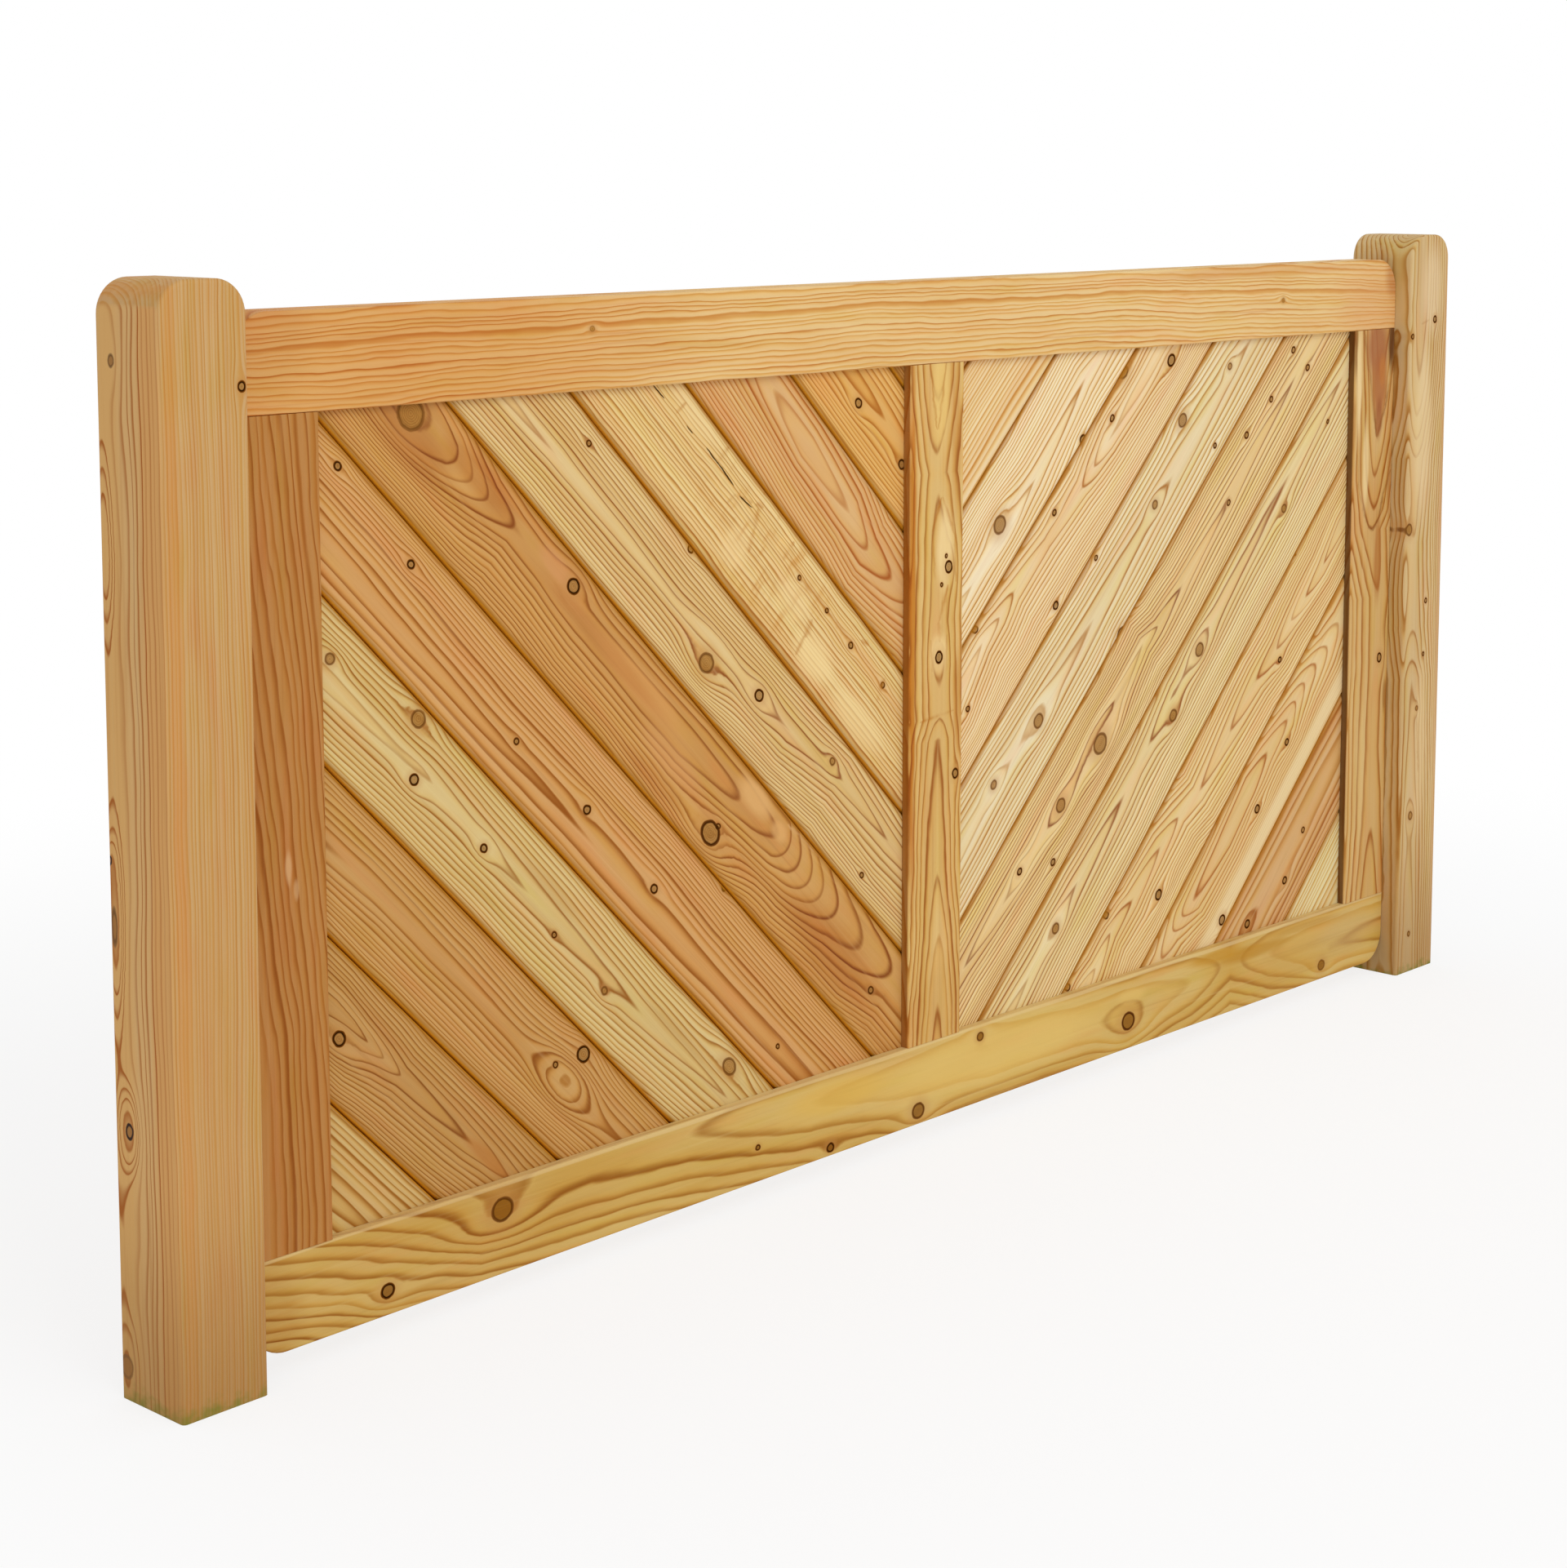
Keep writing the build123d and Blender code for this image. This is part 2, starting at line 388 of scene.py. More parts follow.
def ringsOf(grain, piece, front, side):
    # rings about a pith line behind the face; its depth, counted in rings, is given at the tips of the arches
    ring, tips = piece["ring"], piece.get("tips", ())
    if tips:
        marks = sorted((*grain.local(x, z), rings) for x, z, rings in tips)
        pith, deep = marks[0][1:]
        for (fromAlong, fromAcross, fromRings), (toAlong, toAcross, toRings) in zip(marks, marks[1:]):
            share = ramp(grain.along, fromAlong, toAlong)
            deep = timesPlus(share, toRings - fromRings, deep)
            pith = timesPlus(share, toAcross - fromAcross, pith)
    else:
        pith = piece.get("pithAcross", 0.0)
        deep = timesPlus(grain.along, 1.0 / piece.get("step", 400.0), piece.get("deepRings", 6.0))
        wander = stretched(grain.placed, (320, 300, 300), (grain.seed * 2.1, 4.0, grain.seed), 0.0)
        deep = timesPlus(wander, piece.get("wander", 0.8), deep)
    wave = times(grain.slow, piece.get("wave", 6.0))
    wave = timesPlus(grain.quick, piece.get("ripple", 1.2), wave)
    sideways = calc("ADD", grain.across, calc("ADD", wave, front["Flow"]))
    outward = calc("ABSOLUTE", calc("SUBTRACT", sideways, pith))
    outward = times(outward, timesPlus(outward, piece.get("squeeze", 0.004), 1.0))
    inward = calc("ABSOLUTE", calc("SUBTRACT", times(deep, ring), grain.through))
    point = piece.get("point", 1.7)
    away = calc("ADD", calc("POWER", outward, point), calc("POWER", inward, point))
    away = calc("POWER", away, 1.0 / point)
    count = calc("ADD", calc("DIVIDE", away, ring), front["Lift"])
    if side:
        count = timesPlus(side["Lift"], grain.outerFace, count)
    return addNode(grain.tree, "ShaderNodeGroup", {
        "Rings": count, "Uneven": piece.get("uneven", 0.25 if tips else 0.6),
        "Faint": piece.get("faint", 0.5),
        "Thin": ease(outward, common["thinFrom"], common["thinTo"]) if tips else 0.0,
    }, node_tree=ringGroup).outputs


def stain(grain, base, across, spot, colour):
    # a soft patch of a colour over the base
    x, z, halfLength, halfWidth, amount = spot
    atAlong, atAcross = grain.local(x, z)
    return addNode(grain.tree, "ShaderNodeGroup", {
        "Along": grain.along, "Across": across, "Base": base, "At Along": atAlong, "At Across": atAcross,
        "Half Length": halfLength, "Half Width": halfWidth, "Amount": amount, "Stain": paint(colour),
    }, node_tree=patchGroup).outputs[0]


def clearWood(grain, piece, rings):
    # the wood between the late lines: slow clouds, rosy and golden places and each ring's own tone
    seed, early = grain.seed, piece["early"]
    shade = piece.get("shade", piece["late"])
    deepened = changed([c * share for c, share in zip(early, common["earlyDepth"])], (0, 0, 0))
    cloud = stretched(grain.placed, (170, 40, 26), (seed, seed * 1.7, 2.0))
    clear = blend(ease(cloud, -0.1, 0.7, 0.0, common["cloudAmount"]), deepened, shade)
    clear = blend(times(rings["Ring Tone"], piece.get("ringTint", 0.4)), clear, shade)
    tint = stretched(grain.placed, (130, 60, 20), (seed * 1.3, 7.0, seed * 0.9))
    for end, change in ((0.7, common["rosy"]), (-0.7, common["golden"])):
        amount = ease(tint, 0.0, end, 0.0, common["tintAmount"])
        clear = blend(amount, clear, changed(early, change))
    if "curl" in piece:
        # figure that runs across the grain, in one part of the board
        curled = stain(grain, paint((0, 0, 0)), grain.across, piece["curl"], (255, 255, 255))
        curl = stretched(grain.placed, (15, 50, 55), (seed, 3.0, seed), 2.0, 0.6)
        for end, colour in ((0.6, changed(early, common["curled"])), (-0.6, shade)):
            clear = blend(times(ease(curl, 0.0, end), curled), clear, colour)
    return blend(rings["Warm"], clear, common["warmShade"], "MULTIPLY")


def grainedWood(grain, piece, clear, line, late):
    # the late lines, the fibres and long streaks over the clear wood
    fibreAmount = common["fibreAmount"]
    pale = changed(piece["early"], common["pale"], common["palest"])
    wood = blend(line, clear, late)
    wood = blend(ease(grain.fibre, 0.0, 0.9, 0.0, fibreAmount), wood, late)
    wood = blend(ease(grain.fibre, -0.2, -0.9, 0.0, fibreAmount * 0.7), wood, pale)
    streak = stretched(grain.placed, (300, 7, 4.5), grain.seedVector)
    streakAmount = piece.get("streak", 0.22)
    wood = blend(ease(streak, -0.05, -0.8, 0.0, streakAmount * 1.6), wood, pale)
    return blend(ease(streak, 0.05, 0.8, 0.0, streakAmount), wood, late)


def markedWood(grain, piece, wood):
    # stripes and stains, then darker or lighter wood whose rings still show
    for start, end, soft, amount, colour in piece.get("stripes", ()):
        edge = timesPlus(grain.slow, 3.0, grain.across)
        wood = blend(times(band(edge, start, end, soft), amount), wood, colour)
    for *spot, colour in piece.get("patches", ()):
        wood = stain(grain, wood, grain.waved, spot, colour)
    if "tones" in piece:
        tone = paint((255, 255, 255))
        for *spot, colour in piece["tones"]:
            tone = stain(grain, tone, grain.waved, spot, colour)
        wood = blend(1.0, wood, tone, "MULTIPLY")
    return wood


def knottedWood(grain, piece, wood, knots):
    wood = blend(times(knots["Halo"], piece.get("haloAmount", 0.4)), wood, common["haloColour"])
    soundHeart = piece.get("soundHeart", common["soundHeart"])
    heart = blend(knots["Old"], soundHeart, piece.get("oldHeart", common["oldHeart"]))
    heart = blend(1.0, heart, ease(grain.fibre, -0.6, 0.9, 0.7, 1.15), "MULTIPLY")
    inner = times(knots["Inner"], common["innerAmount"])
    heart = blend(inner, heart, common["innerLine"])
    wood = blend(times(knots["Heart"], common["heartAmount"]), wood, heart)
    rim = blend(knots["Old"], common["soundRim"], common["oldRim"])
    return blend(ramp(knots["Rim"], 0.0, 0.7), wood, rim)


def drawn(grain, strokes, spread, core):
    # how much of the wood the strokes cover, with edges as rough as the spread
    amount = 0.0
    across = timesPlus(grain.roughEdge, spread, grain.across)
    for fromX, fromZ, toX, toZ, width in strokes:
        fromAlong, fromAcross = grain.local(fromX, fromZ)
        toAlong, toAcross = grain.local(toX, toZ)
        amount = addNode(grain.tree, "ShaderNodeGroup", {
            "Along": grain.along, "Across": across, "Crack": amount, "Width": width, "Core": core,
            "From Along": fromAlong, "From Across": fromAcross, "To Along": toAlong, "To Across": toAcross,
        }, node_tree=crackGroup).outputs[0]
    return amount


def jointShadedWood(grain, piece, wood):
    # painted shade in and beside the grooves between the boards, broader in some places than in others
    joint, half = jointShading[piece["joints"]], boardCover / 2
    fromMiddle = calc("ABSOLUTE", grain.across)
    side = timesPlus(grain.quick, joint["ragged"], fromMiddle)
    beside = ease(side, half - joint["reach"], half - 1.5, 0.0, joint["besideAmount"])
    wood = blend(beside, wood, joint["beside"])
    upper = ease(grain.waved, half - joint["upper"], half - 2.5, 0.0, joint["upperAmount"])
    wood = blend(upper, wood, joint["upperColour"])
    start = half - joint["width"]
    return blend(ease(fromMiddle, start, start + 1.5, 0.0, 0.92), wood, joint["colour"])


def sideOfPost(grain, piece, wood, knots):
    heart = times(times(knots["Heart"], grain.outerFace), common["sideHeartAmount"])
    wood = blend(heart, wood, common["sideHeart"])
    wood = blend(times(knots["Rim"], grain.outerFace), wood, common["oldRim"])
    for start, end, soft, amount, colour in piece["sideStripes"]:
        edge = timesPlus(grain.slow, 5.0, grain.through)
        inside = times(band(edge, start, end, soft), grain.outerFace)
        wood = blend(times(inside, amount), wood, colour, "MULTIPLY")
    return wood


def mossyWood(grain, piece, wood):
    # damp, mossy wood at the foot
    height = calc("ADD", grain.along, grain.centreAlong)
    damp = ease(height, common["dampHeight"], 0.0, 0.0, 0.45)
    wood = blend(damp, wood, common["dampColour"])
    ragged = timesPlus(grain.roughEdge, 12.0, timesPlus(grain.quick, 14.0, height))
    return blend(ease(ragged, piece["moss"], -8.0, 0.0, 0.8), wood, common["mossColour"])


def woodMaterial(piece, turn):
    # solid larch: rings about a pith line, bent by the piece's knots
    material = bpy.data.materials.new(piece["node"] + "Wood")
    tree = emptyTree(material)
    grain = grainOf(tree, piece, turn)
    knots = frontKnots(grain, piece)
    side = sideKnots(grain, piece) if "sideKnots" in piece else None
    rings = ringsOf(grain, piece, knots, side)
    clear = clearWood(grain, piece, rings)
    line = rings["Line"]
    late = [c * share for c, share in zip(piece["late"], common["lateDepth"])]
    if side:
        # the outer face of a post has stronger lines than its front, in wood painted paler as painted light
        # on that side
        clear = blend(grain.outerFace, clear, piece["sideLitEarly"])
        line = calc("MULTIPLY", line, timesPlus(grain.outerFace, 0.9, 0.6), clamp=True)
        late = blend(grain.outerFace, late, piece["sideLate"])
    if "fade" in piece:
        start, end, low = piece["fade"]
        line = times(line, ease(grain.along, start, end, 1.0, low))
    wood = markedWood(grain, piece, grainedWood(grain, piece, clear, line, late))
    if "knots" in piece:
        wood = knottedWood(grain, piece, wood, knots)
    if "veins" in piece:
        broken = ease(grain.quick, -0.5, 0.4, 0.1, piece.get("veinAmount", 0.5))
        veins = times(drawn(grain, piece["veins"], 2.2, -0.4), broken)
        wood = blend(veins, wood, piece.get("veinColour", common["veinColour"]))
    splits = 0.0
    if "cracks" in piece:
        splits = drawn(grain, piece["cracks"], 0.8, 0.35)
        wood = blend(splits, wood, common["crackColour"])
    if "joints" in piece:
        wood = jointShadedWood(grain, piece, wood)
    for start, end, amount, colour in piece.get("reveals", ()):
        # painted shade on the edge round an opening, behind the front face
        inside = times(band(grain.across, start, end, 0.5), ease(grain.through, 0.8, 3.0))
        wood = blend(times(inside, amount), wood, colour)
    if side:
        wood = sideOfPost(grain, piece, wood, side)
    if "moss" in piece:
        wood = mossyWood(grain, piece, wood)

    rough = timesPlus(line, -0.12, common["roughness"])
    rough = timesPlus(grain.fibre, 0.05, rough)
    height = timesPlus(line, 0.5, times(grain.fibre, 0.35))
    height = timesPlus(knots["Rim"], -0.3, height)
    height = timesPlus(splits, -1.2, height)
    relief = {"Strength": common["bump"], "Distance": common["bumpHeight"], "Height": height}
    bump = addNode(tree, "ShaderNodeBump", relief).outputs[0]
    shine = common["shine"]
    shader = addNode(tree, "ShaderNodeBsdfPrincipled", {
        "Base Color": wood, "Roughness": rough, "Normal": bump, "Specular IOR Level": shine,
    })
    if "knots" in piece or "cracks" in piece:
        # knots and splits don't shine
        dull = calc("MAXIMUM", calc("MAXIMUM", knots["Rim"], knots["Heart"]), splits)
        dull = calc("MULTIPLY_ADD", dull, -shine, shine, clamp=True)
        tree.links.new(dull, shader.inputs["Specular IOR Level"])
    addNode(tree, "ShaderNodeOutputMaterial", {"Surface": shader.outputs[0]})
    return material


def dress(piece, turn):
    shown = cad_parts[piece["node"]]
    shown.data.materials.clear()
    shown.data.materials.append(woodMaterial(piece, turn))
    print("wood on", piece["node"])


fields = {
    # height of the highest joint at x = 0, x of the field's middle, and the seed before the first board's
    "left": {"turn": alongLeftBoards, "joint": 773, "middle": -424, "seed": 0.0},
    "right": {"turn": alongRightBoards, "joint": 763, "middle": 429, "seed": 20.0},
}


def dressBoard(piece, name, place):
    # a board's name, centre line and seed follow from its place in the field
    field = fields[name]
    middle = field["middle"]
    height = field["joint"] - boardCover * math.sqrt(2) * (place - 1.5) + abs(middle)
    own = {"node": f"{name}_board_{place:02d}", "centre": (middle, height), "seed": field["seed"] + place}
    dress({**own, "joints": name, **piece}, field["turn"])


# What the entries of a piece hold, beside its colours and the size of its rings:
# tips: x, z and number of rings where an arch of the grain has its tip
# knots: x, z, radius, kind and what differs from that kind; sideKnots: y, z, radius, kind, length, swirl
# patches and tones: x, z, half length, half width, amount, colour; curl: the same without a colour
# veins and cracks: x and z of both ends, and the width
# stripes: from, to, softness, amount, colour, across the grain; reveals: the same without softness
# sideStripes: as stripes, but through the post; fade: where late lines weaken along the grain, and to what

# left field, from the upper corner at the mullion down
leftBoard01 = {
    "early": (196, 140, 72), "late": (140, 84, 28), "ring": 4.0, "pithAcross": -90,
}
dressBoard(leftBoard01, "left", 1)

leftBoard02 = {
    "early": (224, 171, 95), "late": (171, 101, 7), "shade": (207, 147, 68), "ring": 5.0, "pithAcross": 8,
    "deepRings": 5, "step": 160,
    "knots": ((-109, 798, 5, "ringed"), (-41, 730, 5, "ringed")),
}
dressBoard(leftBoard02, "left", 2)

leftBoard03 = {
    "early": (219, 171, 108), "late": (171, 94, 21), "shade": (203, 139, 77), "ring": 6.0, "point": 1.9,
    # the patch is a thin pale line on the rounded upper edge, partly pale wood and partly a painted highlight
    "patches": ((-120, 738, 80, 2.5, 0.5, (238, 208, 160)),),
    "tips": (
        (-330, 920, 7), (-270, 855, 6), (-236, 820, 5), (-185, 760, 4.3), (-122, 687, 5), (-93, 645, 6),
        (-56, 612, 7), (-10, 570, 8.5),
    ),
}
dressBoard(leftBoard03, "left", 3)

leftBoard04 = {
    "early": (229, 195, 130), "late": (166, 102, 8), "shade": (210, 152, 72), "ring": 5.0, "wave": 6,
    "ripple": 2.4, "faint": 0.5, "pithAcross": -74, "deepRings": 2, "squeeze": 0.001, "streak": 0.3,
    "curl": (-245, 655, 120, 70, 0.8),
    "knots": (
        (-198, 627, 2.5, "pin"), (-157, 589, 2.5, "pin"), (-120, 549, 3.5, "pin"), (-70, 501, 3, "pin"),
    ),
    "cracks": (
        (-403, 833, -388, 819, 1.1), (-331, 768, -315, 751, 1.1), (-316, 753, -293, 728, 1.3),
        (-285, 717, -267, 704, 1.2), (-358, 791, -350, 783, 0.9),
    ),
    "veins": (
        (-258, 702, -263, 682, 7), (-263, 684, -272, 660, 6), (-302, 712, -290, 719, 4),
        (-198, 628, -157, 590, 4), (-157, 589, -120, 550, 4), (-178, 583, -190, 566, 8),
        (-190, 568, -204, 549, 5), (-212, 650, -198, 630, 3), (-372, 804, -358, 814, 4),
        (-316, 752, -300, 766, 6), (-222, 648, -206, 664, 7), (-78, 494, -66, 508, 6),
        (-104, 552, -92, 546, 5), (-250, 716, -238, 724, 5), (-214, 661, -204, 650, 6),
        (-282, 716, -266, 709, 4), (-262, 707, -250, 703, 5), (-71, 500, -79, 484, 5),
    ),
    "veinColour": (182, 116, 34), "veinAmount": 0.9,
    "patches": (
        (-205, 605, 34, 20, 0.4, (244, 216, 156)), (-176, 543, 40, 22, 0.65, (244, 214, 152)),
        (-110, 470, 60, 18, 0.55, (242, 212, 150)), (-290, 668, 22, 24, 0.4, (242, 212, 152)),
        (-310, 620, 110, 9, 0.5, (214, 148, 92)), (-130, 440, 110, 9, 0.45, (214, 150, 92)),
        (-345, 800, 50, 12, 0.4, (240, 210, 150)),
    ),
}
dressBoard(leftBoard04, "left", 4)

leftBoard05 = {
    "early": (222, 186, 123), "late": (140, 70, 0), "shade": (198, 146, 58), "ring": 4.8, "point": 1.5,
    "tips": (
        (-700, 940, 4), (-530, 778, 5), (-375, 622, 5.6), (-209, 471, 6), (-136, 414, 7), (-60, 330, 8),
        (0, 270, 9),
    ),
    "knots": (
        (-487, 783, 3, "pin"), (-353, 671, 4, "pin"), (-332, 557, 10, "sound", {"swirl": -1.6}),
        (-257, 515, 6, "ringed"), (-148, 432, 4, "sound"), (-102, 305, 3, "pin"),
    ),
}
dressBoard(leftBoard05, "left", 5)

leftBoard06 = {
    "early": (205, 150, 81), "late": (136, 71, 0), "shade": (179, 114, 47), "ring": 5.4, "point": 1.9,
    "wave": 7,
    "tips": (
        (-800, 925, 3), (-654, 785, 4), (-632, 762, 5), (-612, 741, 6), (-580, 712, 7), (-540, 668, 7.25),
        (-497, 618, 7.3), (-360, 482, 7.3), (-290, 420, 8), (-226, 364, 9), (-214, 349, 10),
        (-200, 330, 11), (-184, 312, 12), (-164, 292, 13), (-140, 268, 14), (-100, 226, 15), (-49, 185, 16),
    ),
    "knots": (
        (-701, 824, 15, "sound", {"darkness": 0.45, "swirl": -1.2}), (-508, 651, 7.5, "ringed"),
        (-327, 387, 12, "ringed", {"darkness": 0.8, "swirl": -2.0, "length": 1.3}), (-87, 179, 4, "pin"),
        (-316, 392, 3, "pin"),
    ),
    "patches": (
        (-530, 672, 30, 11, 0.5, (212, 148, 96)), (-262, 412, 34, 15, 0.85, (222, 172, 108)),
        (-228, 372, 16, 9, 0.7, (224, 172, 106)), (-420, 545, 90, 14, 0.5, (218, 158, 92)),
        (-380, 470, 60, 18, 0.4, (214, 156, 98)),
    ),
    "tones": (
        (-470, 590, 120, 10, 0.5, (230, 202, 170)), (-400, 450, 60, 12, 0.4, (232, 206, 176)),
        (-620, 760, 60, 16, 0.7, (232, 204, 172)), (-150, 235, 110, 30, 0.7, (230, 202, 172)),
        (-700, 800, 60, 24, 0.6, (228, 200, 170)),
    ),
    "veins": ((-215, 377, -190, 356, 3), (-196, 362, -176, 342, 3), (-178, 346, -158, 328, 3)),
    "veinColour": (226, 178, 120), "veinAmount": 0.8,
}
dressBoard(leftBoard06, "left", 6)

leftBoard07 = {
    "early": (211, 157, 94), "late": (151, 89, 0), "shade": (198, 138, 70), "ring": 8.0, "pithAcross": -22,
    "deepRings": 3, "step": 600, "squeeze": 0.009,
    "knots": (
        (-783, 784, 4, "ringed", {"swirl": 0.0}), (-703, 691, 4, "ringed", {"swirl": 0.0}),
        (-581, 515, 3, "pin"), (-493, 437, 4.5, "ringed", {"swirl": 0.0}),
        (-405, 345, 4.5, "ringed", {"swirl": 0.0}), (-307, 329, 4, "pin"), (-230, 150, 2.5, "pin"),
    ),
}
dressBoard(leftBoard07, "left", 7)

leftBoard08 = {
    "early": (215, 182, 117), "late": (153, 96, 1), "shade": (200, 160, 88), "ring": 5.4, "point": 1.5,
    "patches": (
        # the first patch is pale sapwood on the rounded upper edge, brightened further as a painted highlight
        # of that edge
        (-748, 625, 70, 4, 0.6, (232, 208, 150)), (-540, 370, 60, 9, 0.35, (188, 146, 82)),
        (-370, 190, 70, 8, 0.35, (190, 150, 84)),
    ),
    "tips": ((-840, 640, 4), (-700, 505, 5), (-566, 370, 6), (-428, 229, 7), (-311, 122, 8), (-200, 10, 9)),
    "knots": (
        (-795, 618, 5, "sound"), (-697, 552, 8, "sound"), (-703, 498, 5, "ringed"),
        (-622, 422, 4, "ringed"), (-536, 325, 3, "pin"), (-472, 258, 4, "sound"),
        (-301, 145, 8, "sound", {"length": 1.4}),
    ),
}
dressBoard(leftBoard08, "left", 8)

leftBoard09 = {
    "early": (201, 150, 85), "late": (147, 91, 20), "shade": (187, 130, 63), "ring": 4.4, "pithAcross": 4,
    "deepRings": 8, "step": 500,
    "knots": ((-500, 202, 8, "ringed"), (-536, 200, 3, "pin"), (-523, 182, 8, "bend")),
}
dressBoard(leftBoard09, "left", 9)

leftBoard10 = {
    "early": (195, 146, 82), "late": (134, 77, 0), "shade": (178, 122, 53), "ring": 4.6, "point": 1.5,
    "tips": (
        (-800, 310, 3), (-762, 270, 4), (-742, 252, 5), (-722, 232, 6), (-640, 150, 7), (-590, 100, 8),
    ),
    "knots": ((-792, 281, 7, "ringed"),),
    "patches": ((-622, 130, 40, 7, 0.5, (180, 108, 40)),),
}
dressBoard(leftBoard10, "left", 10)

leftBoard11 = {
    "early": (210, 175, 110), "late": (158, 107, 32), "shade": (195, 148, 76), "ring": 8.0,
    "pithAcross": -10, "deepRings": 4,
}
dressBoard(leftBoard11, "left", 11)

# right field, from the upper corner at the mullion down
rightBoard01 = {
    "early": (200, 150, 92), "late": (150, 94, 40), "ring": 4.0, "pithAcross": -90,
}
dressBoard(rightBoard01, "right", 1)

rightBoard02 = {
    "early": (235, 203, 148), "late": (206, 154, 86), "shade": (224, 178, 115), "ring": 7.0,
    "pithAcross": -60,
}
dressBoard(rightBoard02, "right", 2)

rightBoard03 = {
    "early": (242, 216, 168), "late": (190, 136, 30), "shade": (232, 197, 138), "ring": 5.4, "point": 1.5,
    "tips": ((20, 540, 4), (75, 590, 5), (182, 698, 6), (270, 800, 7), (340, 860, 8)),
    "knots": ((122, 652, 10, "sound"), (268, 735, 5, "ringed")),
}
dressBoard(rightBoard03, "right", 3)

rightBoard04 = {
    "early": (238, 207, 154), "late": (178, 116, 20), "shade": (224, 176, 106), "ring": 5.2, "point": 1.6,
    "tips": (
        (50, 465, 4), (95, 525, 5), (125, 550, 6), (148, 575, 7), (205, 625, 7.6), (267, 681, 7),
        (288, 702, 6), (315, 730, 5), (400, 815, 4.4),
    ),
    "knots": (
        (322, 755, 4, "pin"), (342, 808, 9, "sound"), (434, 815, 7, "ringed"), (218, 657, 3.5, "pin"),
        (222, 553, 4.5, "ringed"), (82, 542, 4, "pin"), (70, 457, 3, "pin"),
    ),
}
dressBoard(rightBoard04, "right", 4)

rightBoard05 = {
    "early": (235, 211, 161), "late": (176, 120, 16), "shade": (216, 180, 112), "ring": 6.4, "point": 1.6,
    "tips": ((20, 270, 4), (140, 385, 5), (293, 530, 6), (433, 673, 7), (600, 840, 8)),
    "knots": (
        (295, 599, 3, "pin"), (406, 650, 5, "sound"), (458, 744, 8, "sound"), (552, 802, 4, "sound"),
        (524, 710, 3, "pin"), (193, 427, 8, "sound"), (115, 367, 5, "sound"),
        (347, 505, 10, "ringed", {"darkness": 0.7}),
    ),
}
dressBoard(rightBoard05, "right", 5)

rightBoard06 = {
    "early": (235, 201, 139), "late": (128, 52, 0), "shade": (201, 145, 56), "ring": 5.0, "point": 1.5,
    "tips": (
        (20, 120, 7), (65, 170, 6), (132, 231, 5), (230, 320, 4), (330, 420, 4), (388, 490, 5),
        (417, 507, 6), (462, 547, 7), (560, 650, 8), (700, 790, 9),
    ),
    "knots": (
        (307, 385, 12, "sound"), (235, 325, 8, "sound"), (162, 262, 4, "ringed"), (222, 262, 4, "pin"),
        (554, 640, 3.5, "pin"), (589, 718, 4, "pin"), (640, 758, 3.5, "pin"), (718, 792, 4, "pin"),
        (686, 815, 4, "pin"),
    ),
}
dressBoard(rightBoard06, "right", 6)

rightBoard07 = {
    "early": (235, 207, 149), "late": (148, 78, 0), "shade": (208, 166, 80), "ring": 6.0, "point": 1.5,
    "tips": (
        (100, 60, 4), (180, 140, 5), (270, 232, 6), (353, 315, 7), (380, 345, 7.3), (403, 372, 7),
        (450, 425, 6), (560, 540, 6.4), (680, 660, 7), (800, 780, 8),
    ),
    "knots": (
        (499, 470, 8, "sound"), (448, 398, 7, "sound"), (672, 623, 5, "sound"), (765, 723, 2.5, "pin"),
        (228, 185, 6, "sound"),
    ),
}
dressBoard(rightBoard07, "right", 7)

rightBoard08 = {
    "early": (233, 200, 139), "late": (168, 96, 0), "shade": (210, 160, 78), "ring": 5.4, "point": 1.6,
    "tips": (
        (280, 100, 4), (305, 123, 5), (333, 160, 6), (373, 190, 7), (427, 247, 8), (463, 277, 9),
        (500, 297, 9), (563, 360, 8), (620, 417, 7), (662, 450, 6), (692, 482, 5), (720, 507, 4),
        (757, 540, 3), (800, 590, 2),
    ),
    "knots": (
        (669, 437, 3.5, "ringed"), (424, 188, 6, "ringed"), (252, 112, 4, "pin"), (323, 182, 4, "pin"),
        (700, 565, 2.5, "pin"),
    ),
}
dressBoard(rightBoard08, "right", 8)

rightBoard09 = {
    "early": (227, 191, 129), "late": (174, 104, 0), "shade": (212, 157, 84), "ring": 5.0, "point": 1.8,
    "tips": (
        (430, 105, 10), (455, 135, 9), (473, 150, 8), (497, 166, 7), (560, 230, 6), (610, 290, 6),
        (645, 325, 7), (690, 362, 8), (707, 382, 9), (727, 403, 10), (750, 422, 11), (773, 440, 12),
        (800, 470, 13),
    ),
    "stripes": ((-48, -26, 6, 0.75, (238, 214, 164)),),
    "knots": ((688, 332, 4, "ringed"), (626, 258, 5, "ringed"), (555, 133, 6, "ringed")),
}
dressBoard(rightBoard09, "right", 9)

rightBoard10 = {
    "early": (213, 167, 108), "late": (164, 102, 31), "shade": (202, 141, 84), "ring": 10.0,
    "pithAcross": 10, "deepRings": 3, "step": 300,
    "knots": ((728, 215, 3.5, "pin"), (689, 158, 4.5, "ringed"), (609, 118, 5, "ringed")),
}
dressBoard(rightBoard10, "right", 10)

rightBoard11 = {
    "early": (228, 205, 149), "late": (195, 150, 74), "shade": (216, 182, 115), "ring": 7.0,
    "pithAcross": -30,
}
dressBoard(rightBoard11, "right", 11)

